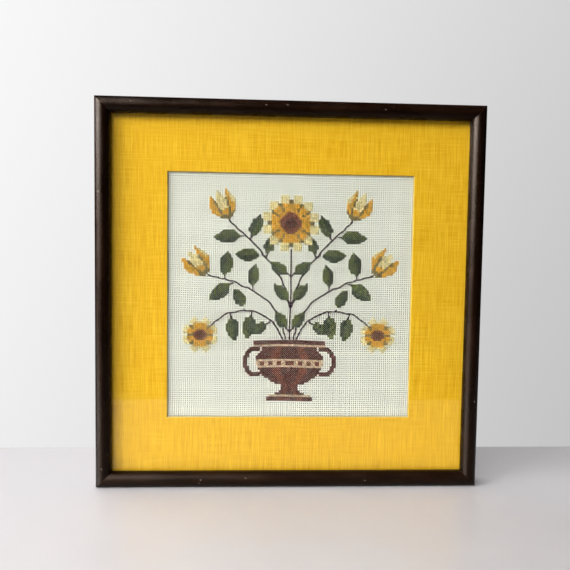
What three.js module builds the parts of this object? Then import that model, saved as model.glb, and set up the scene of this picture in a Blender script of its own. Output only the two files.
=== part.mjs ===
// A square needlework picture: stitched cloth behind a window mat and glass, in a half-round wooden frame.
// Millimetres, +Z up. It stands upright on its bottom rail and faces -Y. The origin is on the floor,
// under the middle of the frame.

import * as THREE from 'three';

// Driving dimensions
const GLASS_SIDE = 304.8; // a 12 inch square, as are the mat and the backing board
const SIDE_ROOM = 0.8; // between these sheets and the rabbet, left and right
const GAP = 0.3; // between pieces that touch on the real object

const RAIL_WIDTH = 13; // seen from the front
const RAIL_DEPTH = 24; // from the crown of the half round to the back
const CROWN_HEIGHT = 6; // of the half round over its shoulders
const CROWN_STEPS = 24; // flat strips that make up the half round
const LIP_WIDTH = 4; // how far the rail covers the glass
const LIP_DEPTH = 2.5; // straight inner edge between the half round and the glass

const GLASS_THICK = 2;
const MAT_THICK = 2;
const CLOTH_THICK = 1;
const BACKING_THICK = 3;

const WINDOW_SIDE = 206.5; // of the mat, where it meets the cloth
const WINDOW_BEVEL = 0.8; // how far the cut edge of the window slopes back towards the viewer
const CLOTH_SIDE = 280; // the cloth's edges stay hidden behind the mat

// Sizes that follow
const RABBET_SIDE = GLASS_SIDE + 2 * SIDE_ROOM;
const OUTER_SIDE = RABBET_SIDE + 2 * (RAIL_WIDTH - LIP_WIDTH);
const HALF_SIDE = OUTER_SIDE / 2;
const SHEET_Z = RAIL_WIDTH - LIP_WIDTH + GAP + GLASS_SIDE / 2; // the sheets stand on the bottom rail

// Depths behind the crown's highest line, from front to back
const LEDGE = CROWN_HEIGHT + LIP_DEPTH;
const GLASS_FRONT = LEDGE + GAP;
const MAT_FRONT = GLASS_FRONT + GLASS_THICK + GAP;
const CLOTH_FRONT = MAT_FRONT + MAT_THICK + GAP;
const BACKING_FRONT = CLOTH_FRONT + CLOTH_THICK + GAP;

const finishes = {
  wood: { color: 0x2c1d15, roughness: 0.38, metalness: 0 },
  glass: { color: 0xeef3f0, roughness: 0.04, metalness: 0, transparent: true, opacity: 0.2 },
  linen: { color: 0xeab630, roughness: 0.85, metalness: 0 },
  cloth: { color: 0xe9ebe0, roughness: 0.95, metalness: 0 },
  board: { color: 0x8a6a48, roughness: 0.9, metalness: 0 },
};

function makeMesh(name, geometry, finish) {
  const mesh = new THREE.Mesh(geometry, new THREE.MeshStandardMaterial(finishes[finish]));
  mesh.name = name;
  return mesh;
}

// Section of a rail. Its first number is the depth behind the crown, its second the distance in from
// the outer edge.
function railSection() {
  const middle = RAIL_WIDTH / 2;
  const section = new THREE.Shape();
  section.moveTo(CROWN_HEIGHT, 0);
  section.lineTo(RAIL_DEPTH, 0);
  section.lineTo(RAIL_DEPTH, RAIL_WIDTH - LIP_WIDTH);
  section.lineTo(LEDGE, RAIL_WIDTH - LIP_WIDTH);
  section.lineTo(LEDGE, RAIL_WIDTH);
  section.lineTo(CROWN_HEIGHT, RAIL_WIDTH);
  for (let step = 1; step < CROWN_STEPS; step += 1) {
    const angle = (Math.PI * step) / CROWN_STEPS;
    section.lineTo(CROWN_HEIGHT * (1 - Math.sin(angle)), middle * (1 + Math.cos(angle)));
  }
  section.closePath();
  return section;
}

// The bottom rail, about the frame's centre: X along it, Y back from the crown, Z up. Its ends are cut
// at 45 degrees, each short of the corner's diagonal by half of the gap.
function railGeometry() {
  const geometry = new THREE.ExtrudeGeometry(railSection(), { depth: 1, bevelEnabled: false });
  const place = geometry.getAttribute('position');
  for (let i = 0; i < place.count; i += 1) {
    const depth = place.getX(i);
    const inward = place.getY(i);
    const end = place.getZ(i) > 0.5 ? 1 : -1;
    const reach = HALF_SIDE - inward - GAP / Math.SQRT2;
    place.setXYZ(i, end * reach, depth - RAIL_DEPTH / 2, inward - HALF_SIDE);
  }
  geometry.computeVertexNormals();
  return geometry;
}

// Four like rails, each turned a quarter from the last about the frame's centre
function makeFrame() {
  const frame = new THREE.Group();
  frame.position.z = HALF_SIDE;
  ['rail_bottom', 'rail_right', 'rail_top', 'rail_left'].forEach((name, turn) => {
    const rail = makeMesh(name, railGeometry(), 'wood');
    rail.rotation.y = (-turn * Math.PI) / 2;
    frame.add(rail);
  });
  return frame;
}

// A flat square sheet, upright, with its front face at a depth behind the crown
function makeSheet(name, side, thick, front, centreZ, finish) {
  const sheet = makeMesh(name, new THREE.BoxGeometry(side, thick, side), finish);
  sheet.position.set(0, front + thick / 2 - RAIL_DEPTH / 2, centreZ);
  return sheet;
}

function squarePath(path, side, centreY) {
  const half = side / 2;
  path.moveTo(-half, centreY - half);
  path.lineTo(half, centreY - half);
  path.lineTo(half, centreY + half);
  path.lineTo(-half, centreY + half);
  path.closePath();
  return path;
}

// The mat stands on the bottom rail, and its window is in the middle of the frame. The window's edge
// is cut at a slope, so that it is wider at the front.
function makeMat() {
  const windowY = HALF_SIDE - SHEET_Z;
  const outline = squarePath(new THREE.Shape(), GLASS_SIDE, 0);
  outline.holes.push(squarePath(new THREE.Path(), WINDOW_SIDE, windowY));
  const geometry = new THREE.ExtrudeGeometry(outline, { depth: MAT_THICK, bevelEnabled: false });
  const place = geometry.getAttribute('position');
  const widen = (WINDOW_SIDE / 2 + WINDOW_BEVEL) / (WINDOW_SIDE / 2);
  for (let i = 0; i < place.count; i += 1) {
    const onWindow = Math.abs(place.getX(i)) < GLASS_SIDE / 2 - 1;
    if (onWindow && place.getZ(i) > MAT_THICK / 2) {
      place.setX(i, place.getX(i) * widen);
      place.setY(i, windowY + (place.getY(i) - windowY) * widen);
    }
  }
  geometry.computeVertexNormals();
  const mat = makeMesh('mat', geometry, 'linen');
  mat.rotation.x = Math.PI / 2;
  mat.position.set(0, MAT_FRONT + MAT_THICK - RAIL_DEPTH / 2, SHEET_Z);
  return mat;
}

const picture = new THREE.Group();
picture.add(makeFrame());
picture.add(makeSheet('glass', GLASS_SIDE, GLASS_THICK, GLASS_FRONT, SHEET_Z, 'glass'));
picture.add(makeMat());
picture.add(makeSheet('needlework_cloth', CLOTH_SIDE, CLOTH_THICK, CLOTH_FRONT, HALF_SIDE, 'cloth'));
picture.add(makeSheet('backing_board', GLASS_SIDE, BACKING_THICK, BACKING_FRONT, SHEET_Z, 'board'));

export default picture;
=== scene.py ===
# A square needlework picture in a wooden frame, dressed around its solids.
# Metres, +Z up. The picture stands on the floor and faces -Y.

import math

import bpy
import numpy as np
from mathutils import Matrix, Vector


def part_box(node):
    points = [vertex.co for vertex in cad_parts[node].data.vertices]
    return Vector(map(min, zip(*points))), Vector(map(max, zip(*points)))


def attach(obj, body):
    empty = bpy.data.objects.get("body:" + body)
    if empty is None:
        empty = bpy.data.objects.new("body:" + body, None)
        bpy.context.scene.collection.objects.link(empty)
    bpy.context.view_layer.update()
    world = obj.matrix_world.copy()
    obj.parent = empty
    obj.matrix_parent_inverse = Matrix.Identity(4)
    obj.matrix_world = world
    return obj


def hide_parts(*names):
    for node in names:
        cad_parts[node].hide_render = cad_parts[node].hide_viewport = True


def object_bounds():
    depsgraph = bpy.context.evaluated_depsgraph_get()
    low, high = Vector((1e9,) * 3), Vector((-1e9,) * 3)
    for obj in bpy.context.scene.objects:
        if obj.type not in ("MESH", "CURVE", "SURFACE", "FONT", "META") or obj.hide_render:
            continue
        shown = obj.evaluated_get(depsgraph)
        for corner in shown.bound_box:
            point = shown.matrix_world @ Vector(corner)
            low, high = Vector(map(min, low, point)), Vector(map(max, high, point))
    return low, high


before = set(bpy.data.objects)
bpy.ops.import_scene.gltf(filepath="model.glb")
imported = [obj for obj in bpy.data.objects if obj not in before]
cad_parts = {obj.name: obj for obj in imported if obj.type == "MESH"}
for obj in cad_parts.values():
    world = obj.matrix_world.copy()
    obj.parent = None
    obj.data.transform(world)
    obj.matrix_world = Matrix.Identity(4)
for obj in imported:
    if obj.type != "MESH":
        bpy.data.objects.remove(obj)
cad_low, cad_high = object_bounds()

BODY = "root"
SEED = 14
random = np.random.default_rng(SEED)

# Moulding, as in the solids
OUTER_SIDE = cad_high.x - cad_low.x
HALF_SIDE = OUTER_SIDE / 2
RAIL_DEPTH = cad_high.y - cad_low.y
RAIL_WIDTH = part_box("rail_bottom")[1].z
CROWN_HEIGHT = 0.006
LIP_WIDTH = 0.004
LEDGE = CROWN_HEIGHT + 0.0025
RAIL_TURNS = {"rail_bottom": 0, "rail_right": 1, "rail_top": 2, "rail_left": 3}

# Moulding, finer than in the solids
CROWN_STEPS = 34
RAIL_STATIONS = 300
EASED_EDGE = 0.0004
MITRE_GAP = 0.00012
WAVINESS = 0.00004
RAIL_WAVES = (43, 97, 211)
SHARP_ANGLE = math.radians(35)
CHIP_DEPTH = 0.00025
RAIL_ROUGHNESS = {"rail_bottom": 0.34, "rail_right": 0.26, "rail_top": 0.27, "rail_left": 0.28}

# Worn spots: place along the rail from its middle, place across from its outer edge, half length and
# half width
CHIPS = {
    "rail_top": [
        dict(along=0.0227, across=0.0052, long=0.0009, wide=0.0004),
        dict(along=0.0054, across=0.0049, long=0.0012, wide=0.0004),
        dict(along=-0.0756, across=0.0066, long=0.0006, wide=0.0004),
        dict(along=0.1320, across=0.0050, long=0.0020, wide=0.0003),
    ],
    "rail_right": [
        dict(along=-0.0877, across=0.0043, long=0.0007, wide=0.0005),
        dict(along=-0.1310, across=0.0052, long=0.0005, wide=0.0004),
    ],
    "rail_bottom": [
        dict(along=-0.0742, across=0.0076, long=0.0006, wide=0.0008),
        dict(along=-0.0750, across=0.0048, long=0.0006, wide=0.0004),
        dict(along=-0.0362, across=0.0088, long=0.0009, wide=0.0004),
        dict(along=0.0650, across=0.0066, long=0.0008, wide=0.0004),
    ],
    "rail_left": [
        dict(along=0.1450, across=0.0060, long=0.0008, wide=0.0005),
        dict(along=-0.0850, across=0.0042, long=0.0007, wide=0.0004),
    ],
}

# Glass: the index sets how much of the room it mirrors
GLASS_INDEX = 1.57

# Mat
WINDOW_SIDE = 0.2065
WINDOW_BEVEL = 0.0008
FACING = 0.00035
LINEN_PITCH = 0.0007

# Cloth: 14 stitches to the inch, on a weave with one crossing for each stitch. It drifts out of line.
STITCH = 0.0254 / 14
THREADS = 120
GROUND_THICK = 0.0004
WEAVE_WAVE = 0.00013
WEAVE_BULGE = 0.00014
DRIFT = 0.0003
DRIFT_LENGTH = 0.095
FLOSS_HALF_WIDTH = 0.222 * STITCH
FLOSS_THICK = 0.00036
OUTLINE_HALF_WIDTH = 0.36 * STITCH

# The cloth's sheet: points along each side, and how far and how often it sways
GROUND_STEPS = 71
GROUND_SWAY = 0.00004
GROUND_WAVES = (61, 53)

# A woven thread's section: place across in stitches, share of its bulge. Then how narrow it is at the
# holes, and how much its width, its line and its shade vary.
THREAD_SECTION = np.array([(-0.38, 0.0), (-0.18, 1.0), (0.18, 1.0), (0.38, 0.0)])
WIDTH_AT_HOLES = 0.7
WIDTH_LIMITS = (0.6, 1.12)
UNEVEN = 0.06
STRAY = 0.04
STRAY_AT_STATION = 0.045
WEAVE_SHADE = 1.04
WEAVE_SHADE_SPREAD = 0.03

# Stitches: where they start on the weave, how high each kind of leg lies, and how much they vary
STITCH_FOOT = 0.4 * WEAVE_BULGE
STITCH_LIFT = 0.3
LOWER_LEG = 0.2
UPPER_LEG = 0.9
BACKSTITCH = 0.6
STITCH_STRAY = 0.03 * STITCH
STITCH_UNEVEN = 0.07
STITCH_SHADE = 1.2
STITCH_SHADE_SPREAD = 0.26

# Yarns: strands side by side, turns of their twist, sheen, roughness, and how much painted shade darkens
# their edges
WEAVE_COLOUR = "faf8ea"
WEAVE_YARN = dict(strands=7.0, twist=0.5, sheen=0.0, roughness=0.85, painted_edge_shade=0.3)
CROSS_YARN = dict(strands=6.0, twist=2.5, sheen=0.02, roughness=0.65, painted_edge_shade=0.6)
OUTLINE_YARN = dict(strands=4.0, twist=3.0, sheen=0.0, roughness=0.6, painted_edge_shade=0.3)

# Backing board: the pitch of the net on its rough face
BOARD_NET = 0.0016

# Camera, from the frame's corners in the photograph. The image's width and the focal length are in pixels,
# and the sensor's width is in millimetres.
IMAGE_WIDTH = 570
SENSOR_WIDTH = 36.0
FOCAL_PIXELS = 600
CAMERA_PLACE = (-0.0301, -0.5079, 0.2018)
CAMERA_YAW = math.radians(2.853)
CAMERA_PITCH = math.radians(-3.379)
CAMERA_ROLL = math.radians(0.82)

# Floor: its front edge and its back edge, in front of and behind the frame
FLOOR_FRONT = -0.297
FLOOR_BACK = 0.096
FLOOR_HALF_WIDTH = 1.6
FLOOR_THICK = 0.02
FLOOR_ROUNDING = 0.002


def srgb(code):
    """Linear colour of a six-digit code."""
    shares = [int(code[i : i + 2], 16) / 255 for i in (0, 2, 4)]
    linear = [s / 12.92 if s <= 0.04045 else ((s + 0.055) / 1.055) ** 2.4 for s in shares]
    return (*linear, 1.0)


def mesh_piece(name, points, face_sets, material, smooth=True):
    """A mesh from an array of points and arrays of faces, each array with one number of corners."""
    mesh = bpy.data.meshes.new(name)
    points = np.asarray(points, np.float32).reshape(-1, 3)
    corners = np.concatenate([np.asarray(f).ravel() for f in face_sets])
    totals = np.concatenate([np.full(len(f), np.shape(f)[1]) for f in face_sets])
    starts = np.concatenate([[0], np.cumsum(totals)[:-1]])
    mesh.vertices.add(len(points))
    mesh.vertices.foreach_set("co", points.ravel())
    mesh.loops.add(len(corners))
    mesh.loops.foreach_set("vertex_index", corners.astype(np.int32))
    mesh.polygons.add(len(totals))
    mesh.polygons.foreach_set("loop_start", starts.astype(np.int32))
    mesh.polygons.foreach_set("use_smooth", np.full(len(totals), smooth))
    mesh.update(calc_edges=True)
    mesh.validate()
    mesh.materials.append(material)
    piece = bpy.data.objects.new(name, mesh)
    bpy.context.scene.collection.objects.link(piece)
    return piece


def add_values(piece, name, kind, values):
    """Stores one number or vector for each point, which a material can read."""
    attribute = piece.data.attributes.new(name, kind, "POINT")
    field = "value" if kind == "FLOAT" else "vector"
    attribute.data.foreach_set(field, np.asarray(values, np.float32).ravel())


def grid_faces(rows, columns, close_columns=False):
    """Quads of a grid of points, stored row by row. With close_columns the last column joins the first."""
    row = np.arange(rows - 1)[:, None]
    column = np.arange(columns if close_columns else columns - 1)[None, :]
    after = (column + 1) % columns
    here, below = row * columns, (row + 1) * columns
    quads = [here + column, here + after, below + after, below + column]
    return np.stack(np.broadcast_arrays(*quads), -1).reshape(-1, 4)


def repeat_faces(faces, count, points_each):
    """The same faces for each of a number of like parts."""
    faces = np.asarray(faces)
    shifts = (np.arange(count) * points_each)[:, None, None]
    return (faces[None] + shifts).reshape(-1, faces.shape[1])


class Finish:
    """One material: a Principled surface, with short calls for the nodes that feed it."""

    def __init__(self, name, **sockets):
        self.material = bpy.data.materials.new(name)
        self.material.use_nodes = True
        self.nodes = self.material.node_tree.nodes
        self.links = self.material.node_tree.links
        self.surface = self.nodes["Principled BSDF"]
        self.output = self.nodes["Material Output"]
        self.feed(self.surface, sockets)
        self.place = self.add("ShaderNodeTexCoord").outputs["Object"]

    def feed(self, node, sockets):
        for key, value in sockets.items():
            socket = node.inputs[key.replace("_", " ") if isinstance(key, str) else key]
            if isinstance(value, bpy.types.NodeSocket):
                self.links.new(value, socket)
            else:
                socket.default_value = value

    def add(self, kind, sockets=None, **settings):
        node = self.nodes.new(kind)
        for key, value in settings.items():
            setattr(node, key, value)
        self.feed(node, sockets or {})
        return node

    def noise(self, stretch, detail=3.0):
        """Noise whose cells for each metre are given for X, Y and Z."""
        spread = self.add("ShaderNodeMapping", {"Vector": self.place, "Scale": stretch})
        made = self.add("ShaderNodeTexNoise", {"Vector": spread.outputs[0], "Scale": 1.0, "Detail": detail})
        return made.outputs[0]

    def maths(self, operation, first, second=0.0, third=0.0):
        node = self.add("ShaderNodeMath", {0: first, 1: second, 2: third}, operation=operation)
        return node.outputs[0]

    def span(self, value, low, high, to_low=0.0, to_high=1.0):
        """A value from low to high, spread from to_low to to_high and held there."""
        node = self.add("ShaderNodeMapRange", {0: value, 1: low, 2: high, 3: to_low, 4: to_high})
        return node.outputs[0]

    def mix(self, share, first, second, blend="MIX"):
        node = self.add("ShaderNodeMix", {0: share, 6: first, 7: second}, data_type="RGBA", blend_type=blend)
        return node.outputs[2]

    def grey(self, value):
        """A value as a colour."""
        return self.add("ShaderNodeCombineColor", {0: value, 1: value, 2: value}).outputs[0]

    def read(self, name):
        """A stored number, and a stored vector's three numbers."""
        stored = self.add("ShaderNodeAttribute", attribute_name=name)
        split = self.add("ShaderNodeSeparateXYZ", {0: stored.outputs["Vector"]})
        return stored.outputs["Fac"], split.outputs

    def axes(self):
        return self.add("ShaderNodeSeparateXYZ", {0: self.place}).outputs

    def bump(self, height, strength, distance, under=None):
        sockets = {"Height": height, "Strength": strength, "Distance": distance}
        if under is not None:
            sockets["Normal"] = under
        return self.add("ShaderNodeBump", sockets).outputs[0]

    def finish(self, **sockets):
        self.feed(self.surface, sockets)
        return self.material


def wood_finish(rail):
    """Dark stained wood under a worn satin lacquer. The grain runs along X of the rail's own object."""
    wood = Finish(f"{rail}_wood", Specular_IOR_Level=0.1, Specular_Tint=(1.0, 0.86, 0.72, 1.0))
    streaks = wood.noise((14, 420, 420), 4)
    pores = wood.noise((160, 3200, 3200), 2)
    patches = wood.noise((45, 120, 120), 3)
    specks = wood.noise((2200, 2200, 2200), 1)
    stain = wood.mix(wood.span(streaks, 0.35, 0.68), srgb("0a0402"), srgb("150803"))
    stain = wood.mix(wood.span(pores, 0.56, 0.7, 0.0, 0.6), stain, srgb("050302"))
    stain = wood.mix(wood.span(specks, 0.68, 0.76, 0.0, 0.3), stain, srgb("6d5a4a"))
    chip, _ = wood.read("chip")
    bare = wood.span(wood.maths("MULTIPLY", chip, wood.span(specks, 0.2, 0.75, 0.3, 1.6)), 0.35, 0.6)
    rough = RAIL_ROUGHNESS[rail]
    dull = wood.span(patches, 0.3, 0.7, rough - 0.06, rough + 0.1)
    peel = wood.noise((420, 900, 900), 2)
    relief = wood.bump(pores, 0.3, 0.00012)
    relief = wood.bump(peel, 0.5, 0.00028, relief)
    relief = wood.bump(specks, 0.35, 0.00012, relief)
    return wood.finish(
        Base_Color=wood.mix(bare, stain, srgb("8e8478")),
        Roughness=wood.maths("MAXIMUM", dull, wood.span(bare, 0.0, 1.0, 0.0, 0.8)),
        Normal=relief,
    )


def rail_section():
    """Depth behind the crown and distance in from the outer edge, once round the moulding."""
    middle = RAIL_WIDTH / 2
    wall = RAIL_WIDTH - LIP_WIDTH
    ease = EASED_EDGE
    section = [
        (RAIL_DEPTH - ease, 0.0),
        (RAIL_DEPTH, ease),
        (RAIL_DEPTH, wall - ease),
        (RAIL_DEPTH - ease, wall),
        (LEDGE, wall),
        (LEDGE, RAIL_WIDTH - ease),
        (LEDGE - ease, RAIL_WIDTH),
    ]
    for angle in np.linspace(0, math.pi, CROWN_STEPS + 1):
        section.append((CROWN_HEIGHT * (1 - math.sin(angle)), middle * (1 + math.cos(angle))))
    section.append(((CROWN_HEIGHT + RAIL_DEPTH) / 2, 0.0))
    return np.array(section)


def chip_share(rail, along, across):
    """How deep in a worn spot each point of a rail is, from 0 to 1."""
    share = np.zeros_like(along)
    for chip in CHIPS[rail]:
        long = (along - chip["along"]) / chip["long"]
        wide = (across - chip["across"]) / chip["wide"]
        share = np.maximum(share, np.exp(-(long**2) - wide**2))
    return share


def make_rail(rail):
    """A mitred length of half-round moulding, built as the bottom one and turned to its side."""
    section = rail_section()
    depth, inward = section[:, 0], section[:, 1]
    reach = HALF_SIDE - inward - MITRE_GAP / 2
    share = np.linspace(-1, 1, RAIL_STATIONS)
    along = share[:, None] * reach[None, :]
    depth = np.broadcast_to(depth, along.shape).copy()
    inward = np.broadcast_to(inward, along.shape).copy()
    on_crown = depth < CROWN_HEIGHT - EASED_EDGE
    chips = np.where(on_crown, chip_share(rail, along, inward), 0.0)
    phase = random.uniform(0, 2 * math.pi, len(RAIL_WAVES))
    waves = sum(np.sin(along * k + p) for k, p in zip(RAIL_WAVES, phase)) / len(RAIL_WAVES)
    depth += np.where(on_crown, WAVINESS * (1 + waves) + CHIP_DEPTH * chips, 0.0)
    points = np.stack([along, depth - RAIL_DEPTH / 2, inward - HALF_SIDE], -1)
    count = len(section)
    first_end = np.arange(count)[None, :]
    last_end = (RAIL_STATIONS - 1) * count + np.arange(count)[None, ::-1]
    faces = grid_faces(RAIL_STATIONS, count, close_columns=True)
    piece = mesh_piece(f"{rail}_moulding", points, [faces, first_end, last_end], wood_finish(rail))
    add_values(piece, "chip", "FLOAT", chips)
    piece.data.set_sharp_from_angle(angle=SHARP_ANGLE)
    turn = Matrix.Rotation(-RAIL_TURNS[rail] * math.pi / 2, 4, "Y")
    piece.matrix_world = Matrix.Translation((0, 0, HALF_SIDE)) @ turn
    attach(piece, BODY)
    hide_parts(rail)


def glass_finish():
    """Clear picture glass: it shows what is behind it and mirrors a little, with faint smears."""
    glass = Finish("picture_glass")
    smears = glass.noise((9, 9, 14), 4)
    clear = glass.add("ShaderNodeBsdfTransparent", {"Color": (0.975, 0.985, 0.978, 1.0)})
    mirror = glass.add("ShaderNodeBsdfGlossy", {"Roughness": glass.span(smears, 0.45, 0.75, 0.0, 0.05)})
    edge_on = glass.add("ShaderNodeFresnel", {"IOR": GLASS_INDEX}).outputs[0]
    inside = glass.add("ShaderNodeNewGeometry").outputs["Backfacing"]
    share = glass.maths("MULTIPLY", edge_on, glass.maths("SUBTRACT", 1.0, inside))
    both = glass.add("ShaderNodeMixShader", {0: share, 1: clear.outputs[0], 2: mirror.outputs[0]})
    glass.links.new(both.outputs[0], glass.output.inputs["Surface"])
    glass.nodes.remove(glass.surface)
    return glass.material


def linen_finish():
    """Golden linen: two sets of uneven threads, with slubs both ways."""
    linen = Finish("mat_linen", Specular_IOR_Level=0.08)
    x, _, z = linen.axes()
    wobble_x = linen.maths("MULTIPLY", linen.noise((900, 1, 60), 2), 5.0)
    wobble_z = linen.maths("MULTIPLY", linen.noise((60, 1, 900), 2), 5.0)
    pulse = 2 * math.pi / LINEN_PITCH
    warp = linen.maths("SINE", linen.maths("MULTIPLY_ADD", x, pulse, wobble_x))
    weft = linen.maths("SINE", linen.maths("MULTIPLY_ADD", z, pulse, wobble_z))
    slubs_up = linen.noise((1150, 1, 40), 3)
    slubs_across = linen.noise((40, 1, 1150), 3)
    lines_up = linen.noise((640, 1, 16), 2)
    lines_across = linen.noise((16, 1, 640), 2)
    cloud = linen.noise((14, 1, 14), 2)
    height = linen.maths("ADD", linen.maths("MULTIPLY", warp, 0.5), linen.maths("MULTIPLY", weft, 0.5))
    height = linen.maths("ADD", height, linen.maths("MULTIPLY", slubs_up, 2.0))
    height = linen.maths("ADD", height, linen.maths("MULTIPLY", slubs_across, 1.4))
    colour = linen.mix(linen.span(slubs_up, 0.35, 0.65), srgb("d2990c"), srgb("f3c22e"))
    colour = linen.mix(linen.span(slubs_across, 0.35, 0.7, 0.0, 0.6), colour, srgb("f5c83c"))
    colour = linen.mix(linen.span(lines_up, 0.4, 0.66, 0.0, 0.3), colour, srgb("d2980c"))
    colour = linen.mix(linen.span(lines_across, 0.42, 0.68, 0.0, 0.2), colour, srgb("d2980c"))
    colour = linen.mix(linen.span(cloud, 0.3, 0.7, 0.0, 0.25), colour, srgb("ebb322"))
    return linen.finish(
        Base_Color=colour,
        Roughness=linen.span(slubs_up, 0.3, 0.7, 0.75, 0.95),
        Normal=linen.bump(height, 0.3, 0.00012),
    )


def core_finish():
    """Mat board where the window's edge is cut: cream darkened to tan, painted shade so the edges turned
    from the lamps read dark.
    """
    core = Finish("mat_core", Specular_IOR_Level=0.2)
    fibres = core.noise((900, 2500, 900), 3)
    return core.finish(
        # Painted shade: the core's cream is darkened to tan for the shaded window edges
        Base_Color=core.mix(core.span(fibres, 0.3, 0.7), srgb("bda566"), srgb("cdb576")),
        Roughness=core.span(fibres, 0.3, 0.7, 0.8, 0.95),
        Normal=core.bump(fibres, 0.2, 0.0001),
    )


def square_ring(name, profile, centre_z, material):
    """A flat square frame. The profile goes round its section: half of the side, then depth."""
    corners = np.array([(-1, -1), (1, -1), (1, 1), (-1, 1)])
    rings = []
    for half, depth in profile:
        rings.append([(sx * half, depth, centre_z + sz * half) for sx, sz in corners])
    sides = len(corners)
    faces = grid_faces(len(profile) + 1, sides, close_columns=True) % (sides * len(profile))
    return mesh_piece(name, rings, [faces], material, smooth=False)


def make_mat():
    """The mat: a board with a sloping window edge, and linen laid on its face."""
    low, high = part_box("mat")
    outer = (high.x - low.x) / 2
    middle = (low.z + high.z) / 2
    front, back = low.y, high.y
    seam = front + FACING
    inner = WINDOW_SIDE / 2
    slope = WINDOW_BEVEL / (back - front)
    window = inner + WINDOW_BEVEL
    at_seam = window - slope * FACING
    round_over = FACING / 3
    linen = square_ring(
        "mat_linen",
        [
            (outer, seam),
            (outer, front + round_over),
            (outer - round_over, front),
            (window + round_over, front),
            (window, front + round_over),
            (at_seam, seam),
        ],
        middle,
        linen_finish(),
    )
    core = square_ring(
        "mat_core",
        [(outer, back), (outer, seam), (at_seam, seam), (inner, back)],
        middle,
        core_finish(),
    )
    for piece, slot in ((linen, "mat_linen"), (core, "mat_core")):
        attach(piece, BODY)
        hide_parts("mat")


def thread_finish(name, colour, strands, twist, sheen, roughness, painted_edge_shade):
    """Yarn or floss. Each point knows its place along and across its thread, and the thread's own shade."""
    thread = Finish(f"{name}_thread", Specular_IOR_Level=0.18, Sheen_Weight=sheen, Sheen_Roughness=0.45)
    _, (along, across, shade) = thread.read("thread")
    turn = thread.maths("MULTIPLY_ADD", across, strands, thread.maths("MULTIPLY", along, twist))
    ridges = thread.maths("SINE", turn)
    fibres = thread.noise((5200, 5200, 5200), 2)
    # Painted shade: the colour is darker in the grooves between the twisted strands and a little lighter on
    # their crests
    light = thread.maths("ADD", shade, thread.span(ridges, -1.0, 1.0, -0.1, 0.05))
    light = thread.maths("ADD", light, thread.span(fibres, 0.3, 0.7, -0.08, 0.08))
    edge = thread.maths("ABSOLUTE", across)
    # Painted shade: the colour darkens towards the thread's edges, where the neighbouring threads would
    # shade it
    light = thread.maths("MULTIPLY", light, thread.span(edge, 0.35, 1.0, 1.0, 1.0 - painted_edge_shade))
    height = thread.maths("ADD", ridges, thread.maths("MULTIPLY", fibres, 1.2))
    return thread.finish(
        Base_Color=thread.mix(1.0, srgb(colour), thread.grey(light), "MULTIPLY"),
        Roughness=thread.span(fibres, 0.3, 0.7, roughness - 0.1, roughness + 0.1),
        Normal=thread.bump(height, 0.7, 0.00012),
    )


def lie(x, z):
    """Where a point of the cloth lies: the weave drifts a little out of line."""
    wave = 2 * math.pi / DRIFT_LENGTH
    moved_x = x + DRIFT * (np.sin(wave * z + 0.7) + 0.6 * np.sin(1.9 * wave * z + 0.4 * wave * x + 2.1))
    moved_z = z + DRIFT * (np.sin(wave * x + 1.9) + 0.6 * np.sin(1.7 * wave * x - 0.5 * wave * z + 0.3))
    return moved_x, moved_z + HALF_SIDE


def make_ground():
    """The cloth's own sheet, behind its raised threads and out to its cut edges under the mat. Its
    near-black colour is painted shade for the holes between the threads.
    """
    low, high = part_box("needlework_cloth")
    ground = Finish("ground_cloth", Specular_IOR_Level=0.2)
    weave = ground.noise((700, 1, 700), 3)
    # Painted shade: the sheet is near-black to stand for the shade seen through the weave's holes
    material = ground.finish(
        Base_Color=ground.mix(weave, srgb("262621"), srgb("383730")),
        Roughness=ground.span(weave, 0.3, 0.7, 0.85, 1.0),
        Normal=ground.bump(weave, 0.3, 0.0002),
    )
    steps = GROUND_STEPS
    line = np.linspace(low.x, high.x, steps)
    x, z = np.meshgrid(line, line)
    sway = GROUND_SWAY * (np.sin(x * GROUND_WAVES[0]) + np.sin(z * GROUND_WAVES[1] + 1.0))
    front = np.stack([x, high.y - GROUND_THICK + sway, z + HALF_SIDE], -1).reshape(-1, 3)
    back = np.stack([x, np.full_like(x, high.y), z + HALF_SIDE], -1).reshape(-1, 3)
    faces = grid_faces(steps, steps)
    index = np.arange(steps * steps).reshape(steps, steps)
    rim = np.concatenate([index[0, :-1], index[:-1, -1], index[-1, :0:-1], index[:0:-1, 0]])
    after = np.roll(rim, -1)
    total = steps * steps
    sides = np.stack([after, rim, rim + total, after + total], -1)
    both_faces = [faces, faces[:, ::-1] + total]
    piece = mesh_piece("needlework_cloth_ground", [*front, *back], [*both_faces, sides], material)
    piece.data.set_sharp_from_angle(angle=SHARP_ANGLE)
    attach(piece, BODY)
    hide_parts("needlework_cloth")
    return piece


def weave_depth():
    """The middle of the woven threads, between the cloth's face and its ground."""
    low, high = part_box("needlework_cloth")
    return (low.y + high.y - GROUND_THICK) / 2


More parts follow.
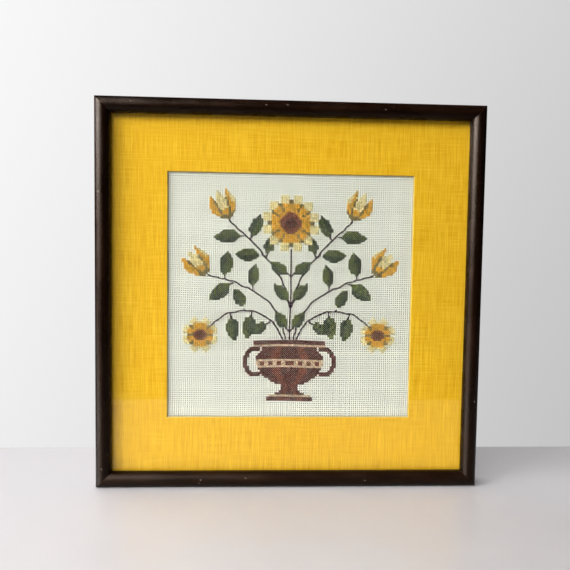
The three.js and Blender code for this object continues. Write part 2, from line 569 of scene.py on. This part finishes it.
def make_threads(name, upright):
    """One set of the weave's threads, each passing over and under the other set in turn."""
    half = THREADS // 2
    stations = 2 * THREADS + 1
    sides = len(THREAD_SECTION)
    line = np.arange(-half, half)[:, None, None]
    station = np.arange(stations)[None, :, None]
    across, bulge = (THREAD_SECTION[:, i][None, None, :] for i in range(2))
    at_crossing = station % 2
    over = at_crossing * (1 - 2 * ((line + station // 2 + (1 if upright else 0)) % 2))
    by_thread, by_station = (THREADS, 1, 1), (THREADS, stations, 1)
    uneven = 1 + random.normal(0, UNEVEN, by_thread) + random.normal(0, UNEVEN, by_station)
    width = uneven * np.where(at_crossing == 1, 1.0, WIDTH_AT_HOLES)
    stray = random.normal(0, STRAY, by_thread) + random.normal(0, STRAY_AT_STATION, by_station)
    side = (line + 0.5 + stray + across * np.clip(width, *WIDTH_LIMITS)) * STITCH
    length = np.broadcast_to((station / 2 - half) * STITCH, side.shape)
    y = weave_depth() - WEAVE_WAVE * over - WEAVE_BULGE * bulge
    x, z = lie(side, length) if upright else lie(length, side)
    points = np.stack([x, np.broadcast_to(y, x.shape), z], -1)
    faces = grid_faces(stations, sides)
    if not upright:
        faces = faces[:, ::-1]
    faces = repeat_faces(faces, THREADS, stations * sides)
    piece = mesh_piece(name, points, [faces], thread_finish(name, WEAVE_COLOUR, **WEAVE_YARN))
    shade = WEAVE_SHADE + random.normal(0, WEAVE_SHADE_SPREAD, by_thread)
    told = np.broadcast_arrays(station / 2, across * 2, shade)
    add_values(piece, "thread", "FLOAT_VECTOR", np.stack(told, -1))
    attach(piece, BODY)
    return piece


# A drawn-out stitch: place along it, share of its full width, share of its rise over the cloth
LEG_RINGS = np.array([(-0.97, 0.45, -0.2), (-0.5, 1.0, 0.9), (0.5, 1.0, 0.9), (0.97, 0.45, -0.2)])
# Its section: place across, height
LEG_SECTION = np.array([(-1.0, 0.0), (-0.62, 0.72), (0.0, 1.0), (0.62, 0.72), (1.0, 0.0), (0.0, -0.25)])


def make_stitches(name, legs, half_width, material):
    """Stitches as arched strands. Each leg has the holes where it starts and ends, and how high it lies."""
    legs = np.asarray(legs, float)
    count = len(legs)
    start, end = legs[:, 0:2] * STITCH, legs[:, 2:4] * STITCH
    rise = legs[:, 4][:, None, None]
    aim = end - start
    reach = np.linalg.norm(aim, axis=1, keepdims=True)
    aim = aim / reach
    normal = np.stack([-aim[:, 1], aim[:, 0]], -1)
    middle = (start + end) / 2 + normal * random.normal(0, STITCH_STRAY, (count, 1))
    fat = half_width * (1 + random.normal(0, STITCH_UNEVEN, (count, 1, 1)))
    along, share, lift = (LEG_RINGS[:, i][None, :, None] for i in range(3))
    across, out = (LEG_SECTION[:, i][None, None, :] for i in range(2))
    spread = across * share * fat
    travel = along * reach[:, :, None] / 2

    def place(axis):
        spot, way, off = (values[:, axis][:, None, None] for values in (middle, aim, normal))
        return spot + way * travel + off * spread

    x, z = lie(place(0), place(1))
    face = weave_depth() - WEAVE_WAVE - STITCH_FOOT
    thick = FLOSS_THICK * half_width / FLOSS_HALF_WIDTH
    y = face - lift * (rise + STITCH_LIFT) * thick - out * thick * share
    points = np.stack(np.broadcast_arrays(x, y, z), -1)
    sides = len(LEG_SECTION)
    rings = len(LEG_RINGS)
    faces = repeat_faces(grid_faces(rings, sides, close_columns=True), count, rings * sides)
    first = repeat_faces(np.arange(sides)[None, ::-1], count, rings * sides)
    last = repeat_faces((rings - 1) * sides + np.arange(sides)[None, :], count, rings * sides)
    piece = mesh_piece(name, points, [faces[:, ::-1], first[:, ::-1], last[:, ::-1]], material)
    shade = STITCH_SHADE + random.normal(0, STITCH_SHADE_SPREAD, (count, 1, 1))
    told = np.broadcast_arrays(along, across, shade)
    add_values(piece, "thread", "FLOAT_VECTOR", np.stack(told, -1))
    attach(piece, BODY)
    return piece


# The design: a generic two-handled urn of flowers, the same left and right. Places are counted in stitches
# from the middle of the cloth, right and up. Only the right half is given, and it is mirrored.
STEMS = [
    [(0, -21), (0, 22)],
    [(3, -21), (8, -7), (23, -1), (37, -14)],
    [(2, -21), (4, -1), (20, 5), (39, 10)],
    [(0, -8), (2, 12), (14, 20), (29, 36)],
]
STALK = 2.2
LEAF_LENGTH = 12.0
LEAF_WIDTH = 6.6
LEAF_RIB = 0.4
LEAF_VEINS = dict(slope=1.3, every=3)
LEAVES = [
    dict(stem=0, share=0.10, turn=52, size=0.80),
    dict(stem=0, share=0.40, turn=50, size=0.85),
    dict(stem=0, share=0.70, turn=34, size=0.80),
    dict(stem=1, share=0.26, turn=-32, size=0.80),
    dict(stem=1, share=0.54, turn=-82, size=0.95),
    dict(stem=1, share=0.62, turn=64, size=0.80),
    dict(stem=1, share=0.78, turn=-98, size=0.95),
    dict(stem=2, share=0.60, turn=98, size=0.85),
    dict(stem=2, share=0.78, turn=-36, size=1.00),
    dict(stem=2, share=0.86, turn=98, size=0.95),
    dict(stem=3, share=0.56, turn=104, size=0.75),
    dict(stem=3, share=0.60, turn=0, size=0.95),
    dict(stem=3, share=0.77, turn=114, size=0.90),
    dict(stem=3, share=0.83, turn=-4, size=1.00),
]
TULIP_LENGTH = 14.0
TULIP_HALF_WIDTH = 6.2
TULIP_SHOULDER = 6.0
TULIP_FOOT = 2.2
TULIP_TEETH = 5.0
TULIP_PALE = 5.0
TULIP_RIM = 1.6
TULIP_LINES = dict(half_width=0.55, top=10.0)
TULIPS = [dict(stem=2, turn=48), dict(stem=3, turn=66)]
DAISIES = [
    dict(right=42.0, up=-18.5, radius=8.2, petals=8),
    dict(right=0.0, up=34.0, radius=13.2, petals=12),
]
URN = [
    dict(up=-50.0, half=11.0),
    dict(up=-48.0, half=11.0),
    dict(up=-46.5, half=7.0),
    dict(up=-45.0, half=4.0),
    dict(up=-42.5, half=4.0),
    dict(up=-40.5, half=9.0),
    dict(up=-37.0, half=13.5),
    dict(up=-32.0, half=16.0),
    dict(up=-28.0, half=15.5),
    dict(up=-25.5, half=12.5),
    dict(up=-24.5, half=13.0),
    dict(up=-23.5, half=17.0),
    dict(up=-21.0, half=17.0),
]
URN_TAN_ROWS = (-48, -34, -31, -24)
URN_CHECK_ROWS = (-33, -32)
URN_SHINE = (0.3, 0.55)
HANDLE = dict(right=16.0, up=-31.0, inner=4.0, outer=5.9, squash=0.82, start=-2.0, reach=9)

THREAD_COLOURS = {
    "dark_green": dict(code="16230c", slot="thread_green"),
    "olive": dict(code="5c6628", slot="thread_green"),
    "gold": dict(code="e8ac26", slot="thread_gold"),
    "pale_yellow": dict(code="f4e3a6", slot="thread_gold"),
    "umber": dict(code="83703f", slot="thread_gold"),
    "maroon": dict(code="4c160f", slot="thread_brown"),
    "rust": dict(code="7c3a24", slot="thread_brown"),
    "tan": dict(code="dcc4a4", slot="thread_brown"),
}
OUTLINE_COLOUR = "2e1f26"

# A backstitch's reach in stitches, and how much longer a bent line is than its straight one
BACKSTITCH_REACH = 2
BEND = 1.15

# A daisy from its middle out: heart, eye, and where the petals turn pale, as shares of its radius
DAISY_HEART = 0.2
DAISY_EYE = 0.36
DAISY_PALE = 0.72


def along_stem(points, share):
    """A point on the smooth curve that guide points give."""
    points = [np.array(p, float) for p in points]
    while len(points) > 1:
        points = [a * (1 - share) + b * share for a, b in zip(points, points[1:])]
    return points[0]


def heading(degrees):
    """A step of one stitch, by its angle from the right."""
    return np.array([math.cos(math.radians(degrees)), math.sin(math.radians(degrees))])


def fill(chart, right, up, degrees, reach, thread_at):
    """Puts a shape's stitches on the chart. thread_at says which thread lies along and across it, if any."""
    c, s = heading(degrees)
    for column in range(math.floor(right - reach), math.ceil(right + reach) + 1):
        for row in range(math.floor(up - reach), math.ceil(up + reach) + 1):
            dx, dy = column + 0.5 - right, row + 0.5 - up
            thread = thread_at(dx * c + dy * s, dy * c - dx * s)
            if thread:
                chart[column, row] = thread


def chart_leaf(chart, foot, turn, size):
    """A pointed leaf: dark on one side of its rib and in its veins, olive between them."""
    length, width = LEAF_LENGTH * size, LEAF_WIDTH * size

    def thread_at(along, across):
        share = along / length
        if not 0 <= share <= 1:
            return None
        if abs(across) > width / 2 * math.sin(math.pi * share**0.8) ** 0.85:
            return None
        vein = math.floor(along * LEAF_VEINS["slope"] + across) % LEAF_VEINS["every"] == 0
        return "dark_green" if vein or across <= -LEAF_RIB else "olive"

    fill(chart, *foot, turn, length, thread_at)


def chart_tulip(chart, foot, turn):
    """A cup with a toothed rim, its petals parted by dark lines."""

    def thread_at(along, across):
        if along < 0:
            return None
        side = abs(across)
        if side > TULIP_HALF_WIDTH * math.sqrt(min(1, along / TULIP_SHOULDER)):
            return None
        tooth = abs((across / TULIP_HALF_WIDTH * 1.5 + 1.5) % 1 - 0.5) * 2
        if along > TULIP_LENGTH - TULIP_TEETH * tooth:
            return None
        petal = 1.6 + 0.14 * along
        on_line = abs(side - petal) < TULIP_LINES["half_width"] and along < TULIP_LINES["top"]
        if along < TULIP_FOOT or on_line:
            return "umber"
        if side < petal:
            return "pale_yellow" if along > TULIP_PALE else "gold"
        lit = across > TULIP_HALF_WIDTH - TULIP_RIM and along > TULIP_SHOULDER
        return "pale_yellow" if lit else "gold"

    fill(chart, *foot, turn, TULIP_LENGTH + 2, thread_at)


def chart_daisy(chart, right, up, radius, petals):
    """A round flower: a dark eye, and petals with gaps between them."""

    def thread_at(along, across):
        share = math.hypot(along, across) / radius
        lobe = abs(math.sin(petals / 2 * math.atan2(along, across)))
        if share > 0.78 + 0.26 * lobe**0.7:
            return None
        if share < DAISY_EYE:
            return "maroon" if share < DAISY_HEART else "rust"
        if lobe < 0.32 and share > 0.4:
            return "umber" if share < 0.8 else None
        return "pale_yellow" if share > DAISY_PALE else "gold"

    fill(chart, right, up, 0, radius + 2, thread_at)


def chart_urn(chart):
    """The right half of the urn, banded, and its handle."""
    heights = [row["up"] for row in URN]
    halves = [row["half"] for row in URN]
    for row in range(int(heights[0]), int(heights[-1])):
        half = np.interp(row + 0.5, heights, halves)
        for column in range(math.ceil(half)):
            if column + 0.5 > half:
                continue
            thread = "maroon"
            if URN_SHINE[0] < (column + 0.5) / half < URN_SHINE[1] and row < URN_TAN_ROWS[-1]:
                thread = "rust"
            if row in URN_TAN_ROWS:
                thread = "tan"
            if row in URN_CHECK_ROWS:
                thread = "tan" if column // 2 % 2 else "rust"
            chart[column, row] = thread

    def thread_at(along, across):
        away = math.hypot(along, across * HANDLE["squash"])
        on_ring = HANDLE["inner"] <= away <= HANDLE["outer"]
        return "maroon" if on_ring and along > HANDLE["start"] else None

    fill(chart, HANDLE["right"], HANDLE["up"], 0, HANDLE["reach"], thread_at)


def draw_design():
    """The chart of cross stitches, by column and row, and the lines to be sewn over it."""
    chart, lines = {}, [list(stem) for stem in STEMS]
    for leaf in LEAVES:
        joint = along_stem(STEMS[leaf["stem"]], leaf["share"])
        foot = joint + STALK * heading(leaf["turn"])
        lines.append([joint, foot + 0.5 * heading(leaf["turn"])])
        chart_leaf(chart, foot, leaf["turn"], leaf["size"])
    for daisy in DAISIES:
        chart_daisy(chart, **daisy)
    for tulip in TULIPS:
        chart_tulip(chart, STEMS[tulip["stem"]][-1], tulip["turn"])
    chart_urn(chart)
    right_half = {place: thread for place, thread in chart.items() if place[0] >= 0}
    left_half = {(-1 - column, row): thread for (column, row), thread in right_half.items()}
    return {**left_half, **right_half}, lines


def cross_legs(cells):
    """Two legs for each cross: the lower one rises to the right, and the upper one lies over it."""
    legs = []
    for column, row in sorted(cells):
        legs.append((column, row, column + 1, row + 1, LOWER_LEG))
        legs.append((column + 1, row, column, row + 1, UPPER_LEG))
    return legs


def outline_legs(lines, covered):
    """Backstitches of about two squares each, from hole to hole along every line and its mirror image."""
    legs = []
    for line in lines:
        ends = [along_stem(line, 0), along_stem(line, 1)]
        stitches = max(1, round(BEND * np.linalg.norm(ends[1] - ends[0]) / BACKSTITCH_REACH))
        holes = [np.round(along_stem(line, share)) for share in np.linspace(0, 1, stitches + 1)]
        for start, end in zip(holes, holes[1:]):
            middle = (start + end) / 2
            hidden = (math.floor(middle[0]), math.floor(middle[1])) in covered
            if hidden or not np.any(start != end):
                continue
            legs.append((*start, *end, BACKSTITCH))
            if start[0] or end[0]:
                legs.append((-start[0], start[1], -end[0], end[1], BACKSTITCH))
    return legs


def make_needlework():
    """The stretched cloth: ground, weave, cross stitches by colour, and the sewn stems."""
    ground = make_ground()
    on_cloth = [make_threads("weave_upright", True), make_threads("weave_across", False)]
    chart, lines = draw_design()
    for name, thread in THREAD_COLOURS.items():
        cells = [place for place, used in chart.items() if used == name]
        material = thread_finish(name, thread["code"], **CROSS_YARN)
        legs = cross_legs(cells)
        on_cloth.append(make_stitches(f"stitches_{name}", legs, FLOSS_HALF_WIDTH, material))
    material = thread_finish("outline", OUTLINE_COLOUR, **OUTLINE_YARN)
    legs = outline_legs(lines, chart)
    on_cloth.append(make_stitches("stitches_outline", legs, OUTLINE_HALF_WIDTH, material))


def backing_finish():
    """Brown hardboard, its rough face to the back."""
    board = Finish("hardboard", Specular_IOR_Level=0.25)
    fibres = board.noise((1400, 1400, 900), 4)
    cloud = board.noise((22, 22, 22), 3)
    x, _, z = board.axes()
    pulse = 2 * math.pi / BOARD_NET
    net_x = board.maths("SINE", board.maths("MULTIPLY", x, pulse))
    net_z = board.maths("SINE", board.maths("MULTIPLY", z, pulse))
    net = board.maths("MAXIMUM", net_x, net_z)
    colour = board.mix(board.span(fibres, 0.3, 0.7), srgb("6f5136"), srgb("967250"))
    colour = board.mix(board.span(cloud, 0.35, 0.7, 0.0, 0.5), colour, srgb("7d5c3d"))
    relief = board.bump(net, 0.25, 0.00015)
    return board.finish(
        Base_Color=colour,
        Roughness=board.span(fibres, 0.3, 0.7, 0.7, 0.95),
        Normal=board.bump(fibres, 0.35, 0.00015, relief),
    )


def dress_sheets():
    """The glass and the backing board keep their flat solids."""
    for node, material in (("glass", glass_finish()), ("backing_board", backing_finish())):
        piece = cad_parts[node]
        piece.data.materials.clear()
        piece.data.materials.append(material)


def make_floor():
    """A plain pale table top, with its edges rounded."""
    paint = Finish("floor_paint", Specular_IOR_Level=0.5)
    mottle = paint.noise((30, 30, 30), 4)
    material = paint.finish(
        Base_Color=paint.mix(mottle, srgb("b9b6b8"), srgb("bfbcbe")),
        Roughness=paint.span(mottle, 0.3, 0.7, 0.3, 0.38),
    )
    left, right = -FLOOR_HALF_WIDTH, FLOOR_HALF_WIDTH
    corners = [(left, FLOOR_FRONT), (right, FLOOR_FRONT), (right, FLOOR_BACK), (left, FLOOR_BACK)]
    points = [(x, y, z) for z in (-FLOOR_THICK, 0.0) for x, y in corners]
    around = [(i, (i + 1) % 4, (i + 1) % 4 + 4, i + 4) for i in range(4)]
    floor = mesh_piece("floor", points, [around + [(3, 2, 1, 0), (4, 5, 6, 7)]], material, smooth=False)
    rounding = floor.modifiers.new("rounding", "BEVEL")
    rounding.width = FLOOR_ROUNDING
    rounding.segments = 3


# Soft studio light: where each lamp stands, its sides and its power in watts. Lamps don't show in gloss,
# which mirrors the room instead.
AIM = (0.0, 0.0, HALF_SIDE)
LAMPS = [
    dict(name="window_light", place=(-1.35, -0.75, 0.95), sides=(1.0, 0.8), power=35.0),
    dict(name="front_light", place=(-0.45, -1.2, 0.95), sides=(0.9, 0.7), power=13.0),
    dict(name="back_light", place=(-0.6, 0.45, 1.05), sides=(1.0, 0.6), power=6.0),
]


def make_lamps():
    """The lamps, each turned to the middle of the picture."""
    for lamp in LAMPS:
        data = bpy.data.lights.new(lamp["name"], "AREA")
        data.shape = "RECTANGLE"
        data.size, data.size_y = lamp["sides"]
        data.energy = lamp["power"]
        light = bpy.data.objects.new(lamp["name"], data)
        light.location = lamp["place"]
        light.visible_glossy = False
        light.rotation_euler = (Vector(AIM) - light.location).to_track_quat("-Z", "Y").to_euler()
        bpy.context.scene.collection.objects.link(light)


# The room, by direction: how bright the backdrop is at its left and right, and how much more at the top.
# Then what gloss mirrors: the window at the left, a faint veil in front, and a pale wall behind.
BACKDROP = (0.904, 0.58)
BACKDROP_RISE = 0.15
WINDOW_GLOW = 88.0
VEIL_GLOW = (0.22, 0.02)
WALL_GLOW = 0.8


def make_world():
    """A pale backdrop for the eye, soft light for the part, and a room for its gloss to mirror."""
    world = bpy.data.worlds.new("studio")
    bpy.context.scene.world = world
    world.use_nodes = True
    nodes, links = world.node_tree.nodes, world.node_tree.links
    nodes.clear()

    def maths(operation, first, second, clamp=False):
        node = nodes.new("ShaderNodeMath")
        node.operation, node.use_clamp = operation, clamp
        for socket, value in zip(node.inputs, (first, second)):
            if isinstance(value, float):
                socket.default_value = value
            else:
                links.new(value, socket)
        return node.outputs[0]

    def glow(strength):
        node = nodes.new("ShaderNodeBackground")
        node.inputs["Color"].default_value = (1.0, 1.0, 1.0, 1.0)
        links.new(strength, node.inputs["Strength"])
        return node.outputs[0]

    def span(value, low, high, to_low, to_high):
        node = nodes.new("ShaderNodeMapRange")
        links.new(value, node.inputs[0])
        for socket, number in zip(list(node.inputs)[1:5], (low, high, to_low, to_high)):
            socket.default_value = number
        return node.outputs[0]

    def choose(test, otherwise, chosen):
        node = nodes.new("ShaderNodeMixShader")
        for socket, value in zip(node.inputs, (test, otherwise, chosen)):
            links.new(value, socket)
        return node.outputs[0]

    way = nodes.new("ShaderNodeSeparateXYZ")
    links.new(nodes.new("ShaderNodeTexCoord").outputs["Generated"], way.inputs[0])
    right, back, up = way.outputs
    seen = span(right, -0.4, 0.5, *BACKDROP)
    seen = maths("ADD", seen, maths("MULTIPLY", up, BACKDROP_RISE), clamp=True)
    cast = maths("ADD", span(right, -1.0, 0.0, 0.5, 0.05), span(back, 0.0, 1.0, 0.0, 0.75))
    cast = maths("ADD", cast, span(up, 0.0, 1.0, 0.0, 0.2))
    window = maths("MULTIPLY", span(right, -0.8, -0.26, WINDOW_GLOW, 0.0), span(up, 0.06, 0.34, 0.025, 1.0))
    front = maths("ADD", window, span(right, -0.3, 0.1, *VEIL_GLOW))
    front = maths("MULTIPLY", front, span(back, -0.5, 0.08, 1.0, 0.0))
    wall = maths("MULTIPLY", span(back, 0.75, 0.92, 0.0, WALL_GLOW), span(up, 0.12, 0.3, 0.0, 1.0))
    mirrored = maths("ADD", front, wall)
    ray = nodes.new("ShaderNodeLightPath").outputs
    shade = choose(ray["Is Glossy Ray"], glow(cast), glow(mirrored))
    shade = choose(ray["Is Camera Ray"], shade, glow(seen))
    links.new(shade, nodes.new("ShaderNodeOutputWorld").inputs["Surface"])


def make_camera():
    """The photograph's camera: place, direction and roll from the frame's corners."""
    data = bpy.data.cameras.new("camera")
    data.sensor_width = SENSOR_WIDTH
    data.lens = data.sensor_width * FOCAL_PIXELS / IMAGE_WIDTH
    camera = bpy.data.objects.new("camera", data)
    look = Matrix.Rotation(-CAMERA_YAW, 3, "Z") @ Matrix.Rotation(math.pi / 2 + CAMERA_PITCH, 3, "X")
    turned = look @ Matrix.Rotation(CAMERA_ROLL, 3, "Z")
    camera.matrix_world = Matrix.Translation(CAMERA_PLACE) @ turned.to_4x4()
    bpy.context.scene.collection.objects.link(camera)
    bpy.context.scene.camera = camera


make_camera()
for rail_name in RAIL_TURNS:
    make_rail(rail_name)
make_mat()
make_needlework()
dress_sheets()
make_floor()
make_lamps()
make_world()
bpy.context.scene.view_settings.view_transform = "Standard"
